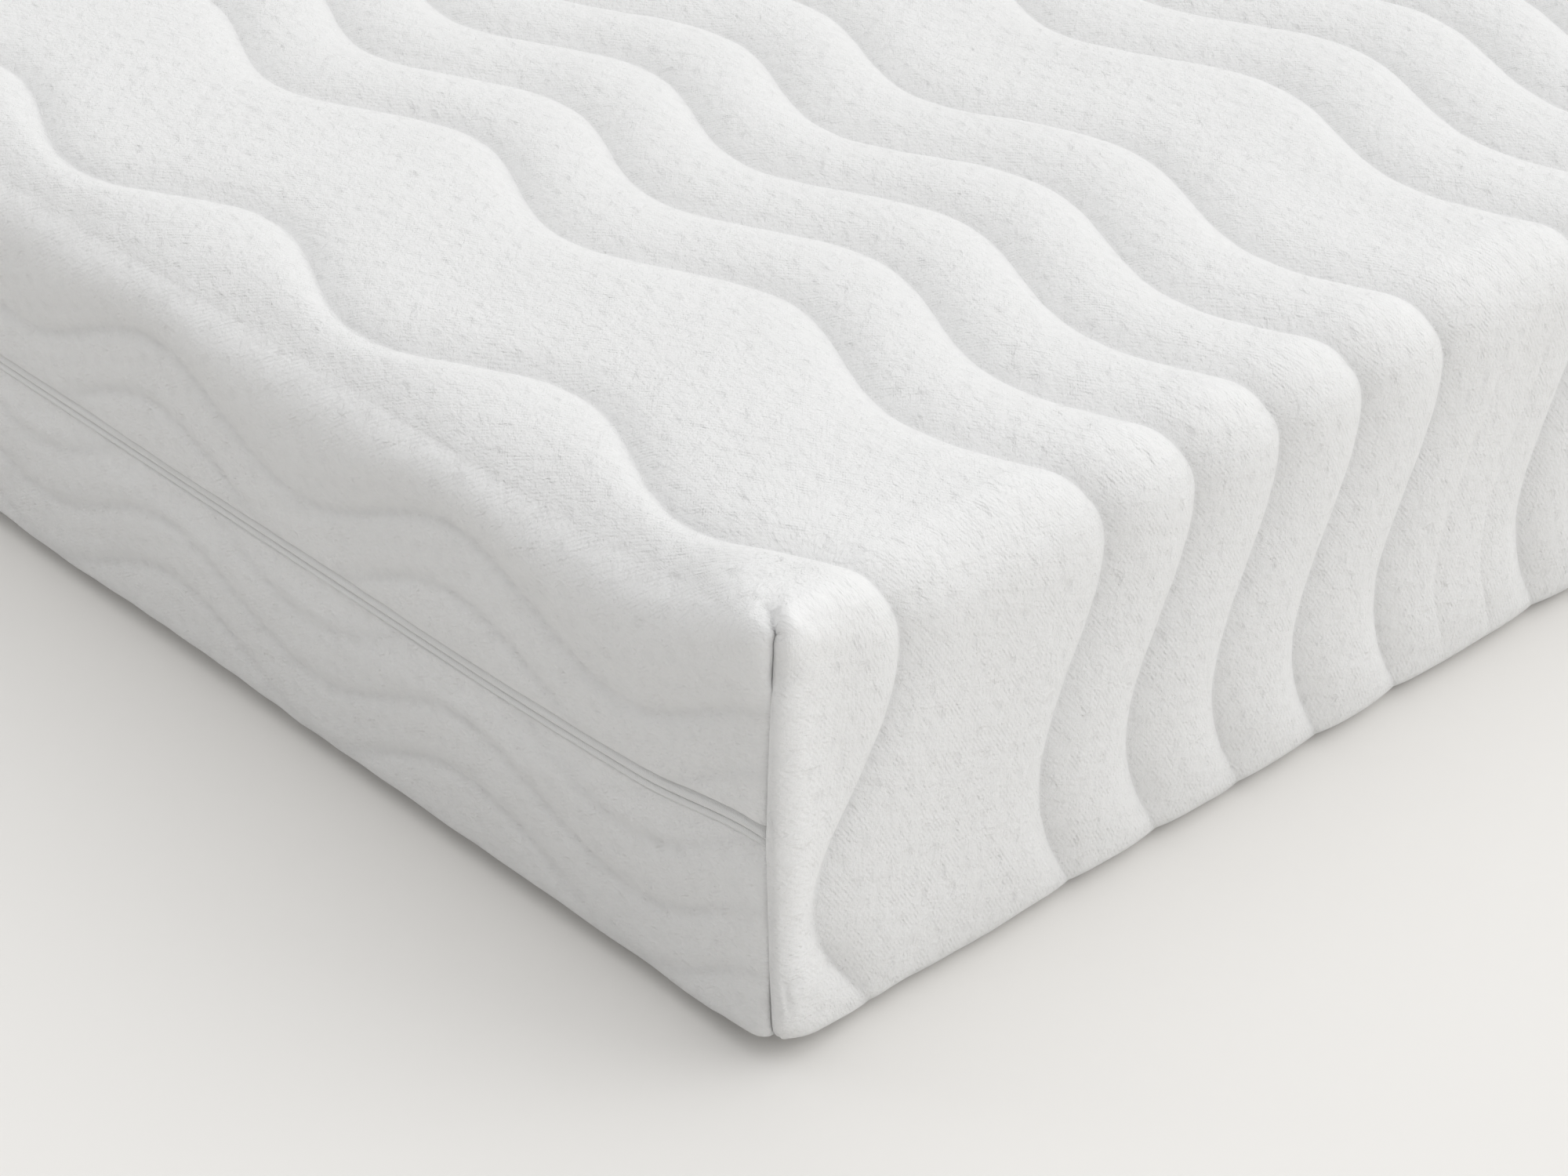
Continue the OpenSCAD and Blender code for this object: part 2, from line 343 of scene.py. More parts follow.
def zip_recess(q):
    """How deep the cloth turns in above and below the zip, and how much of the quilting is left there."""
    up = np.clip((q[:, 2] - LIP_HIGH) / (16 * MM), 0, 1)
    down = np.clip((LIP_LOW - q[:, 2]) / (20 * MM), 0, 1)
    upper = 3.6 * MM * (1 - np.sqrt(1 - (1 - up) ** 2))
    lower = 4.2 * MM * (1 - ramp(0, 1, down))
    above = q[:, 2] > FOLD
    return np.where(above, upper, lower), np.where(above, ramp(0, 0.8, up), ramp(0.2, 1, down))


def side_sag(q, face):
    """The front long side bulges a little at mid height, and its zip climbs just before the corner seam."""
    if face != "left":
        return np.zeros(len(q)), np.zeros(len(q))
    x, up = q[:, 0], np.abs(q[:, 2] - FOLD) / FOLD
    out = BULGE * ramp(END, END - 160 * MM, x) * ramp(-END, -END + 160 * MM, x) * (1 - np.clip(up, 0, 1) ** 2)
    climb = RISE * ramp(END - 75 * MM, SEAM - 4 * MM, x) * ramp(0.75, 0.15, up)
    climb = climb * (x < seam_at(q[:, 2]) + 0.1 * MM)
    return out, climb


def corner_rise(q):
    """The sewn corners stand up a little at the top, and are drawn up off the floor at the bottom."""
    away = np.hypot(END - np.abs(q[:, 0]), SIDE - np.abs(q[:, 1]))
    top = CORNER_PEAK * ramp(100 * MM, 5 * MM, away) * ramp(60 * MM, TOP, q[:, 2])
    bottom = CORNER_LIFT * ramp(55 * MM, 4 * MM, away) * ramp(70 * MM, 0, q[:, 2])
    return top + bottom


def quilting(q, face):
    """(height of the padding, distance from the nearest line) on any face."""
    if face in LONG_SIDES:
        high, line = side_quilting(q, face)
        round_corner = np.abs(q[:, 0]) > seam_at(q[:, 2])
        high = np.where(round_corner, EDGE_PUFF, high)
    else:
        high, line = panel_quilting(q, face)
    if face == "bottom":
        inside = np.minimum(END - np.abs(q[:, 0]), SIDE - np.abs(q[:, 1]))
        pressed = PRESSED_EDGE + (PRESSED - PRESSED_EDGE) * ramp(0, 60 * MM, inside)
        return REST + (high - REST) * pressed * ramp(0, 25 * MM, SIDE - np.abs(q[:, 1])), line
    edge = 0 if face in LONG_SIDES else PRESSED_EDGE
    pressed = edge + (1 - edge) * ramp(0, 36 * MM, q[:, 2])
    return REST + (high - REST) * pressed, line


def cloth(q, face):
    """Where points of the box's faces lie in the finished cover, with (along, across, nearness of a line)."""
    place, out = roll_over(q, face in LONG_SIDES)
    high, line = quilting(q, face)
    lift = high - REST
    if face in ("left", "right", "far"):
        recess, kept = zip_recess(q)
        here = (np.abs(q[:, 0]) < seam_at(q[:, 2]) - HAIR) if face != "far" else np.full(len(q), True)
        lift = np.where(here, lift * kept - recess, lift)
    lift = lift + seam_pinch(q, face) + puckers(q)
    lift = lift + 0.45 * MM * rumple(q, 70 * MM, 3) + 0.2 * MM * rumple(q, 22 * MM, 4)
    bulge, climb = side_sag(q, face)
    inside = np.minimum(END - np.abs(q[:, 0]), SIDE - np.abs(q[:, 1]))
    place = place + out * (lift + bulge)[:, None]
    place[:, 2] += climb + corner_rise(q)
    if face != "bottom":
        place[:, 2] += CROWN * ramp(0, CROWN_RISE, inside) * np.clip(out[:, 2], 0, 1)
    place[:, 2] = np.maximum(place[:, 2], 0.1 * MM)
    sheet = np.stack([along(q, face), across(q, face), np.exp(-line / NEAR_LINE)], 1)
    return place, out, sheet


def lining(q, face):
    """The cover's inner face, which puffs the other way between the quilting lines."""
    place, out = roll_over(q, inner=True)
    high, line = quilting(q, face)
    bulge, climb = side_sag(q, face)
    deep = LINING_DEPTH + 0.3 * high + 0.2 * MM * rumple(q, 40 * MM, 6)
    place = place + out * (bulge - deep)[:, None]
    place[:, 2] += climb
    near = np.exp(-line / NEAR_LINE) * (face not in LONG_SIDES)
    return place, -out, np.stack([along(q, face), across(q, face), near], 1)


def core_skin(q, depth, uneven):
    """(points, way out) of a layer of the core at a depth inside the box, with the play at its ends."""
    place, out = roll_over(q, inner=True)
    place = place - out * (depth + uneven)[:, None]
    place[:, 0] *= (END - depth - END_EASE) / (END - depth)
    return place, out


def sleeve(q, face):
    """The core's thin knitted sleeve, with soft wrinkles."""
    place, out = core_skin(q, SLEEVE_DEPTH, 0.25 * MM * (1 + rumple(q, 60 * MM, 8)))
    return place, out, np.stack([along(q, face), across(q, face), np.zeros(len(q))], 1)


# ------------------------ meshes


class Patchwork:
    """Gathers grids of points and joins them where they meet."""

    def __init__(self):
        self.keys, self.points, self.notes, self.faces, self.count = [], [], [], [], 0

    def add(self, key, points, notes, shape, flip=False):
        rows, cols = shape
        index = np.arange(rows * cols).reshape(rows, cols) + self.count
        quad = np.stack([index[:-1, :-1], index[1:, :-1], index[1:, 1:], index[:-1, 1:]], -1).reshape(-1, 4)
        self.keys.append(key)
        self.points.append(points)
        self.notes.append(notes)
        self.faces.append(quad[:, ::-1] if flip else quad)
        self.count += rows * cols

    def build(self, name):
        keys = np.round(np.concatenate(self.keys) * 1e6).astype(np.int64)
        points, notes = np.concatenate(self.points), np.concatenate(self.notes)
        _, first, same = np.unique(keys, axis=0, return_index=True, return_inverse=True)
        same = same.reshape(-1)
        share = np.bincount(same).astype(float)
        merged = np.stack([np.bincount(same, points[:, i]) / share for i in range(3)], 1)
        faces = same[np.concatenate(self.faces)]
        whole = [len(set(f)) == 4 for f in faces.tolist()]
        return new_mesh(name, merged, faces[whole], notes[first])


def new_mesh(name, points, faces, sheet=None, smooth=True):
    """A mesh object; sheet is where each point lies on the cloth, which the materials read."""
    mesh = bpy.data.meshes.new(name)
    mesh.from_pydata(points.tolist(), [], faces if isinstance(faces, list) else faces.tolist())
    if smooth:
        mesh.polygons.foreach_set("use_smooth", [True] * len(mesh.polygons))
    if sheet is not None:
        layer = mesh.attributes.new("sheet", "FLOAT_VECTOR", "POINT")
        layer.data.foreach_set("vector", np.asarray(sheet, dtype=np.float32).ravel())
    mesh.update()
    made = bpy.data.objects.new(name, mesh)
    bpy.context.collection.objects.link(made)
    return made


def wavy(y, s):
    """A grid column that follows the quilting wave, but stays straight on the box's edges."""
    inside = np.minimum(SIDE + y, SIDE - y)
    return y + wave(s) * np.clip(inside / (40 * MM), 0, 1)


def beside_seam(x, z):
    """How far grid points near the corner seam move along the mattress to follow it."""
    return (seam_at(z) - SEAM) * np.interp(np.abs(x), (SEAM - 20 * MM, SEAM, END), (0, 1, 0)) * np.sign(x)


def box_grid(face, u, v):
    """Points of one face: u runs along x, or down z on an end wall; v runs along y, or z on a long side."""
    uu, vv = np.meshgrid(u, v, indexing="ij")
    uu, vv = uu.ravel(), vv.ravel()
    if face in ("top", "bottom"):
        z = np.full_like(uu, TOP if face == "top" else 0.0)
        lean = beside_seam(uu, z) * ramp(50 * MM, 0, SIDE - np.abs(vv))
        flat = np.stack([uu + lean, vv, z], 1)
        flat[:, 1] = wavy(vv, along(flat, face))
    elif face in ("end", "far"):
        flat = np.stack([np.full_like(uu, END if face == "end" else -END), vv, uu], 1)
        flat[:, 1] = wavy(vv, along(flat, face))
    else:
        wall = np.full_like(uu, -SIDE if face == "left" else SIDE)
        flat = np.stack([uu + beside_seam(uu, vv), wall, vv], 1)
    if face in ("end", "bottom"):
        inward = vv + SIDE
        flat[:, 1] -= drawn(flat, face, inward - SIDE_ROLL) * np.clip(inward / (40 * MM), 0, 1)
    return flat, (len(u), len(v))


# faces whose grid order has to be turned over for the outside to face out
TURNED = {"top": False, "bottom": True, "end": False, "far": True, "left": False, "right": True}


def add_face(work, face, u, v, form=cloth, inside_out=False):
    q, shape = box_grid(face, u, v)
    points, _, sheet = form(q, face)
    work.add(np.c_[q, np.zeros(len(q))], points, sheet, shape, TURNED[face] != inside_out)


def lip_points(face, u, lip):
    """Points of a wall at one height, where the cloth ends at the zip."""
    level = np.array([lip])
    return (box_grid(face, u, level) if face in LONG_SIDES else box_grid(face, level, u))[0]


# how far the cloth's turned edge goes in, and away from the zip, step by step behind the lip, in mm
HEM = ((0.7, -0.35), (1.5, -0.2), (2.0, 0.5), (2.1, 2.5), (2.1, 9.0))


def add_hem(work, face, u, lip, away):
    """The cloth's edge along the zip, turned in behind itself."""
    q = lip_points(face, u, lip)
    points, out, sheet = cloth(q, face)
    rows, keys, notes = [points], [np.c_[q, np.zeros(len(q))]], [sheet]
    for k, (deep, shift) in enumerate(HEM):
        moved = points - out * (deep * MM)
        moved[:, 2] += away * shift * MM
        rows.append(moved)
        keys.append(np.c_[q, np.full(len(q), k + 1)])
        notes.append(sheet + np.array([0, (k + 1) * MM, 0]))
    flip = (away > 0) != (face == "left")
    work.add(np.concatenate(keys), np.concatenate(rows), np.concatenate(notes), (len(rows), len(q)), flip)


def columns(fine):
    """Places across the mattress for grid lines, crowded at the quilting lines."""
    at = LINES + SIDE_ROLL - SIDE
    edge = np.array([0, 0.6, 1.3, 2.2, 3.4, 4.8, 6.4, 8.2, 10.2, 12.5]) * MM
    beside = np.array([-6, -3.4, -1.8, -0.8, 0, 0.8, 1.8, 3.4, 6]) * MM
    short = np.concatenate([line + beside for line in SHORT_LINES])
    runs = [edge - SIDE, spaced(-SIDE + edge[-1], at[0], 3.4 * MM)]
    for a, b in zip(at[:-1], at[1:]):
        runs.append(crowded(a, b, fine if b - a < WIDE_BAND else int(fine * 1.5)))
    runs += [spaced(at[-1], SIDE - edge[-1], 4 * MM), SIDE - edge, short + SIDE_ROLL - SIDE]
    return join(*runs)


FINE_END = END - 650 * MM


def near_rows(step):
    """Places along the mattress by the near end, crowded at the corner seam."""
    seam = SEAM + np.array([0, 0.7, 1.5, 2.6, 4, 5.5, 7, 8.5, -0.6, -1.3, -2, -3.5, -5.5, -8]) * MM
    return join(seam, spaced(SEAM - 8 * MM, FINE_END, step))


def far_rows(step):
    """The rest of the places along the mattress, up to where the near rows begin."""
    seam = -SEAM + np.array([0, 0.7, 1.8, 3.5, 6, 10, -0.8, -2, -4, -6.2, -8.5]) * MM
    return join(seam, spaced(-SEAM + 10 * MM, FINE_END, step))


def make_upper_cover():
    """Top panel, the near end wall down to the bottom, and the flaps above the zip."""
    x = join(near_rows(2.8 * MM), far_rows(9 * MM))
    y = columns(12)
    flap = join(spaced(LIP_HIGH, LIP_HIGH + 4 * MM, 0.8 * MM), spaced(LIP_HIGH + 4 * MM, TOP, 2.8 * MM))
    low = join(spaced(0, LIP_HIGH, 2.9 * MM))
    edge = x[x >= SEAM - 1e-7]
    work = Patchwork()
    add_face(work, "top", x, y)
    add_face(work, "end", join(low, flap)[::-1], y)
    add_face(work, "far", flap[::-1], y)
    for face in LONG_SIDES:
        add_face(work, face, x, flap)
        add_face(work, face, edge, low)
        add_hem(work, face, x[(x <= SEAM + 1e-7)], LIP_HIGH, 1)
    add_hem(work, "far", y, LIP_HIGH, 1)
    add_face(work, "bottom", edge, y)
    return work.build("quilted_cover_upper")


def make_lower_cover():
    """The underside and the flaps below the zip."""
    x = join(near_rows(3.5 * MM), far_rows(11 * MM))
    x = x[x <= SEAM + 1e-7]
    y = columns(9)
    flap = join(spaced(0, LIP_LOW - 4 * MM, 3 * MM), spaced(LIP_LOW - 4 * MM, LIP_LOW, 0.8 * MM))
    work = Patchwork()
    add_face(work, "bottom", x, y)
    add_face(work, "far", flap[::-1], y)
    for face in LONG_SIDES:
        add_face(work, face, x, flap)
        add_hem(work, face, x, LIP_LOW, -1)
    add_hem(work, "far", y, LIP_LOW, -1)
    return work.build("quilted_cover_lower")


def make_lining(name, upper_half):
    """The inner face of the cover's top or bottom half."""
    coarse_end = END - 120 * MM
    x = join(spaced(-END, coarse_end, 9 * MM), spaced(coarse_end, END, 5 * MM), np.array([SEAM, -SEAM]))
    y = columns(7)
    edge = x[x >= SEAM - 1e-7]
    work = Patchwork()
    lip = LIP_HIGH + 2.5 * MM if upper_half else LIP_LOW - 2.5 * MM
    flap = spaced(lip, TOP, 5 * MM) if upper_half else spaced(0, lip, 5 * MM)
    away = 1 if upper_half else -1
    if upper_half:
        low = spaced(0, lip, 5 * MM)
        add_face(work, "end", join(low, flap)[::-1], y, lining, True)
        for face in LONG_SIDES:
            add_face(work, face, edge, low, lining, True)
        add_face(work, "bottom", edge, y, lining, True)
    else:
        x = x[x <= SEAM + 1e-7]
    add_face(work, "top" if upper_half else "bottom", x, y, lining, True)
    add_face(work, "far", flap[::-1], y, lining, True)
    for face in LONG_SIDES:
        add_face(work, face, x, flap, lining, True)
        add_lining_hem(work, face, x[x <= SEAM + 1e-7], lip, away)
    add_lining_hem(work, "far", y, lip, away)
    return work.build(name)


def add_lining_hem(work, face, u, lip, away):
    """The lining's edge, brought out to the back of the zip tape."""
    q = lip_points(face, u, lip)
    points, _, sheet = lining(q, face)
    tape_back = side_sag(q, face)[0] - (TAPE_DEPTH + 1.0 * MM)
    wall, outward = roll_over(q, inner=True)
    target = wall + outward * tape_back[:, None]
    target[:, 2] = points[:, 2]
    rows, keys, notes = [points], [np.c_[q, np.zeros(len(q))]], [sheet]
    for k, (share, shift) in enumerate(((0.25, 0.3), (0.6, 0.6), (0.95, 0.5), (1.0, -1.2))):
        moved = points + (target - points) * share
        moved[:, 2] -= away * shift * MM
        rows.append(moved)
        keys.append(np.c_[q, np.full(len(q), k + 1)])
        notes.append(sheet)
    flip = (away > 0) == (face == "left")
    work.add(np.concatenate(keys), np.concatenate(rows), np.concatenate(notes), (len(rows), len(q)), flip)


def make_sleeve():
    """The knitted sleeve round both foams."""
    x = join(spaced(-END, END, 12 * MM))
    y = spaced(-SIDE, SIDE, 12 * MM)
    z = join(spaced(0, 30 * MM, 5 * MM), spaced(30 * MM, 150 * MM, 10 * MM), spaced(150 * MM, TOP, 5 * MM))
    return make_core("core_sleeve_knit", ("top", "bottom"), x, y, z, sleeve)


def make_core(name, level_faces, x, y, z, form):
    """A layer of the core: the level faces named, and all four walls."""
    work = Patchwork()
    for face in level_faces:
        add_straight(work, face, x, y, form)
    for face in LONG_SIDES:
        add_straight(work, face, x, z, form)
    for face in ("end", "far"):
        add_straight(work, face, z[::-1], y, form)
    return work.build(name)


def add_straight(work, face, u, v, form):
    """A face whose grid doesn't follow the quilting."""
    uu, vv = (g.ravel() for g in np.meshgrid(u, v, indexing="ij"))
    fixed = {"top": TOP, "bottom": 0.0, "end": END, "far": -END, "left": -SIDE, "right": SIDE}[face]
    if face in ("top", "bottom"):
        q = np.stack([uu, vv, np.full_like(uu, fixed)], 1)
    elif face in ("end", "far"):
        q = np.stack([np.full_like(uu, fixed), vv, uu], 1)
    else:
        q = np.stack([uu, np.full_like(uu, fixed), vv], 1)
    points, _, sheet = form(q, face)
    work.add(np.c_[q, np.zeros(len(q))], points, sheet, (len(u), len(v)), TURNED[face])


def foam(q, face):
    """The foam core's skin: square walls, softly rolled edges, slightly uneven as cut foam is."""
    place, out = core_skin(q, FOAM_DEPTH, 0.2 * MM * (1 + rumple(q, 90 * MM, 9)))
    return place, out, q.copy()


def make_foam(name, top_part):
    """One foam layer: its part of the core's skin, closed by a flat cut face where the layers are glued."""
    x, y = spaced(-END, END, 16 * MM), spaced(-SIDE, SIDE, 16 * MM)
    roll = spaced(150 * MM, TOP, 4 * MM) if top_part else spaced(0, 26 * MM, 4 * MM)
    cut = FOAM_SPLIT + (0.05 if top_part else -0.05) * MM
    z = join(roll, spaced(FOAM_SPLIT, 150 * MM, 8 * MM) if top_part else spaced(26 * MM, FOAM_SPLIT, 8 * MM))
    skin = make_core(name, ("top" if top_part else "bottom",), x, y, z, foam)
    close_cut(skin, cut)
    return skin


def close_cut(piece, level):
    """Fills the open rim at a level with one flat face."""
    shape = bmesh.new()
    shape.from_mesh(piece.data)
    rim = [e for e in shape.edges if e.is_boundary]
    for v in {v for e in rim for v in e.verts}:
        v.co.z = level
    made = bmesh.ops.holes_fill(shape, edges=rim, sides=0)["faces"]
    for f in made:
        f.smooth = False
    bmesh.ops.recalc_face_normals(shape, faces=shape.faces)
    shape.to_mesh(piece.data)
    shape.free()


# ------------------------ the zip


def zip_run(step, front_end, back_end):
    """Points along the three zipped walls at fold height, and the way out at each: front, far end, back."""
    r = CORNER_ROLL
    turn = np.linspace(0, np.pi / 2, 9)[1:-1]
    front_x = spaced(front_end, -END + r, step)
    front = np.stack([front_x, np.full(len(front_x), -SIDE)], 1)
    back_x = spaced(-END + r, back_end, step)
    back = np.stack([back_x, np.full(len(back_x), SIDE)], 1)
    far_y = spaced(-SIDE + r, SIDE - r, step)
    far = np.stack([np.full(len(far_y), -END), far_y], 1)
    ways = (([0.0, -1.0], front), ([-1.0, 0.0], far), ([0.0, 1.0], back))
    out_front, out_far, out_back = (np.tile(way, (len(run), 1)) for way, run in ways)
    bend_a = np.stack([-np.sin(turn), -np.cos(turn)], 1)
    bend_b = np.stack([-np.cos(turn), np.sin(turn)], 1)
    corner_a, corner_b = [-END + r, -SIDE + r] + bend_a * r, [-END + r, SIDE - r] + bend_b * r
    place = np.concatenate([front, corner_a, far, corner_b, back])
    return place, np.concatenate([out_front, bend_a, out_far, bend_b, out_back])


def on_wall(place, out, depth, height, swell=0.0):
    """Points at a depth behind the zipped walls and a height over the fold; the front sags and swells too."""
    q = np.c_[place, np.full(len(place), FOLD) + height]
    front = place[:, 1] < -SIDE + 0.1 * MM
    bulge, climb = side_sag(q, "left")
    shift = np.where(front, bulge, 0) - depth + swell * ramp(0, -SIDE, place[:, 1])
    return np.c_[place + out * shift[:, None], q[:, 2] + np.where(front, climb, 0)]


def run_length(place):
    return np.concatenate([[0], np.cumsum(np.linalg.norm(np.diff(place, axis=0), axis=1))])


def ring_quads(index):
    """Faces along a closed section; index has one row for each of the section's points."""
    ring = np.concatenate([index, index[:1]])
    return np.stack([ring[:-1, :-1], ring[1:, :-1], ring[1:, 1:], ring[:-1, 1:]], -1).reshape(-1, 4)


def ring_faces(index, turned=False):
    """The same with a face over each end."""
    quads = ring_quads(index)
    quads = quads[:, [0, 3, 2, 1]] if turned else quads
    return quads.tolist() + [index[:, 0].tolist(), index[::-1, -1].tolist()]


def sweep(name, place, out, profile, swell):
    """A closed band whose section is a list of (depth, height); swell is how far each bellies out."""
    length = run_length(place)
    rows, notes = [], []
    girth = 0.0
    for k, (depth, height) in enumerate(profile):
        if k:
            girth += math.hypot(depth - profile[k - 1][0], height - profile[k - 1][1])
        rows.append(on_wall(place, out, depth, height, swell[k]))
        notes.append(np.stack([length, np.full(len(length), girth), np.zeros(len(length))], 1))
    n, m = len(profile), len(place)
    faces = ring_faces(np.arange(n * m).reshape(n, m), turned=True)
    return new_mesh(name, np.concatenate(rows), faces, np.concatenate(notes))


def make_tape(name, up):
    """One half of the zip tape: a ribbed woven band that bellies out between the cover's lips."""
    place, out = zip_run(5 * MM, ZIP_STOP, ZIP_STOP)
    middle, half, swell = (2.6, 3.1, 3.6) if up > 0 else (1.7, 2.3, 3.1)
    heights = np.arange(0.06, TAPE_REACH / MM, 0.28)
    belly = [swell * MM * math.exp(-(((h - middle) / half) ** 2)) for h in heights]
    ribs = [0.15 - 0.16 * abs(math.sin(math.pi * h / 1.15)) for h in heights]
    front = [((TAPE_DEPTH / MM + rib) * MM, up * h * MM) for rib, h in zip(ribs, heights)]
    behind = (TAPE_REACH / MM, 8.0, 5.0, 3.4, middle, 1.0, 0.06)
    back = [((TAPE_DEPTH / MM + 0.65) * MM, up * h * MM) for h in behind]
    belly += [swell * MM * math.exp(-(((h - middle) / half) ** 2)) for h in behind]
    return sweep(name, place, out, front + back, belly)


def tube(name, path, radius, sides=4):
    """A thin cord along a path of points."""
    ahead = unit(np.gradient(path, axis=0))
    side = unit(np.cross(ahead, [0.13, 0.21, 0.97]))
    over = np.cross(side, ahead)
    turn = np.arange(sides) * 2 * np.pi / sides
    ring = path[None] + radius * (np.cos(turn)[:, None, None] * side + np.sin(turn)[:, None, None] * over)
    return ring.reshape(-1, 3), ring_quads(np.arange(sides * len(path)).reshape(sides, len(path)))


def winding(place, out, at, pitch):
    """(points, way out, angle of the turn) of a wound thread at lengths along the zipped walls."""
    length = run_length(place)
    base = np.stack([np.interp(at, length, place[:, i]) for i in range(2)], 1)
    way = unit(np.stack([np.interp(at, length, out[:, i]) for i in range(2)], 1))
    return base, way, 2 * np.pi * at / pitch


def make_coil(name, up):
    """The zip's spiral teeth behind the tape: one wound filament."""
    pitch = 2.0 * MM
    steps = 7
    place, out = zip_run(2 * MM, *COIL_NEAR)
    length = run_length(place)
    turns = int(length[-1] / pitch)
    at = (np.arange(turns * steps) / steps + (0.5 if up > 0 else 0.0)) * pitch
    base, way, angle = winding(place, out, at[at < length[-1]], pitch)
    height = up * (2.0 + 1.15 * np.cos(angle)) * MM
    depth = TAPE_DEPTH + 1.55 * MM + 0.62 * MM * np.sin(angle)
    path = on_wall(base, way, depth, height)
    points, faces = tube(name, path, 0.28 * MM)
    return new_mesh(name, points, faces)


def make_edging(name, up):
    """Overlock stitching that binds the lining's edge to the zip tape, seen when the cover lies open."""
    place, out = zip_run(2 * MM, SEAM - 3 * MM, SEAM - 3 * MM)
    length = run_length(place)
    pitch = 3.2 * MM
    base, way, angle = winding(place, out, np.arange(0, length[-1], pitch / 6), pitch)
    height = up * (10.6 + 1.6 * np.cos(angle)) * MM
    depth = TAPE_DEPTH + 1.5 * MM + 0.35 * MM * np.sin(angle)
    points, faces = tube(name, on_wall(base, way, depth, height), 0.2 * MM)
    return new_mesh(name, points, faces)


# the corner binding's section: (across, away from the cloth) in mm
BAND = (
    (-3.2, 0.15), (-2.7, 0.7), (-1.2, 0.95), (0, 1.05), (1.2, 0.95), (2.7, 0.7), (3.2, 0.15),
    (2.5, -0.1), (-2.5, -0.1),
)


def inside_corners(z):
    """At each corner seam, at heights z: points on the lining, the way in and the way along the wall."""
    for end in (1, -1):
        for side, face in ((-1, "left"), (1, "right")):
            q = np.stack([np.full_like(z, end * SEAM), np.full_like(z, side * SIDE), z], 1)
            place, inward, _ = lining(q, face)
            yield place, inward, unit(np.cross(inward, [0.0, 0.0, 1.0]))


def make_bindings(name, low, high):
    """Woven bands that cover the raw edges of the four corner seams, on the inside."""
    z = spaced(low, high, 2.5 * MM)
    n, m = len(BAND), len(z)
    points, faces, notes = [], [], []
    for place, inward, aside in inside_corners(z):
        start = len(points) * m
        for width, raised in BAND:
            points.append(place + aside * width * MM + inward * (raised + 0.12 * math.sin(width)) * MM)
            notes.append(np.stack([z, np.full(m, width * MM), np.zeros(m)], 1))
        faces += ring_faces(np.arange(n * m).reshape(n, m) + start)
    return new_mesh(name, np.concatenate(points), faces, np.concatenate(notes), smooth=False)


def make_stitching(name, low, high):
    """The overlock thread that zigzags over each corner binding."""
    z = spaced(low, high, 0.7 * MM)
    zigzag = np.abs((z / (3.0 * MM)) % 2 - 1) * 2 - 1
    points, faces, count = [], [], 0
    for place, inward, aside in inside_corners(z):
        over = 1.15 - 0.35 * np.abs(zigzag) ** 3
        path = place + aside * (2.7 * MM * zigzag)[:, None] + inward * (over * MM)[:, None]
        ring, quads = tube(name, path, 0.2 * MM, 6)
        points.append(ring)
        faces.append(quads + count)
        count += len(ring)
    return new_mesh(name, np.concatenate(points), np.concatenate(faces))


# ------------------------ materials


class Nodes:
    """Short hand for building a material's nodes."""

    def __init__(self, name):
        self.material = bpy.data.materials.new(name)
        self.material.use_nodes = True
        self.tree = self.material.node_tree
        self.shader = self.tree.nodes["Principled BSDF"]

    def add(self, kind, settings=None, **inputs):
        node = self.tree.nodes.new("ShaderNode" + kind)
        for key, value in (settings or {}).items():
            setattr(node, key, value)
        for key, value in inputs.items():
            numbered = key[0] == "i" and key[1:].isdigit()
            self.feed(node.inputs[int(key[1:]) if numbered else key.replace("_", " ")], value)
        return node

    def feed(self, socket, value):
        if isinstance(value, bpy.types.NodeSocket):
            self.tree.links.new(value, socket)
        elif isinstance(value, bpy.types.Node):
            self.tree.links.new(value.outputs[0], socket)
        else:
            socket.default_value = value

    def math(self, operation, a, b=0.0, c=0.0):
        return self.add("Math", {"operation": operation}, i0=a, i1=b, i2=c).outputs[0]

    def mix(self, factor, a, b):
        node = self.tree.nodes.new("ShaderNodeMix")
        node.data_type = "RGBA"
        self.feed(node.inputs[0], factor)
        self.feed(node.inputs[6], a)
        self.feed(node.inputs[7], b)
        return node.outputs[2]

    def sheet(self):
        """(place on the cloth, along, across, nearness of a quilting line), as the mesh holds them."""
        noted = self.add("Attribute", {"attribute_name": "sheet"}).outputs["Vector"]
        s, t, line = self.add("SeparateXYZ", Vector=noted).outputs
        return self.add("CombineXYZ", X=s, Y=t).outputs[0], s, t, line

    def bump(self, height, distance, before=None, strength=1.0):
        node = self.add("Bump", Strength=strength, Distance=distance, Height=height)
        if before is not None:
            self.feed(node.inputs["Normal"], before)
        return node.outputs[0]

    def noise(self, where, scale, detail, roughness=0.5):
        return self.add("TexNoise", Vector=where, Scale=scale, Detail=detail, Roughness=roughness).outputs[0]

    def map(self, value, low, high, smooth=True):
        kind = {"interpolation_type": "SMOOTHSTEP"} if smooth else {}
        return self.add("MapRange", kind, i0=value, i1=low, i2=high).outputs[0]

    def set(self, **inputs):
        for key, value in inputs.items():
            self.feed(self.shader.inputs[key.replace("_", " ")], value)


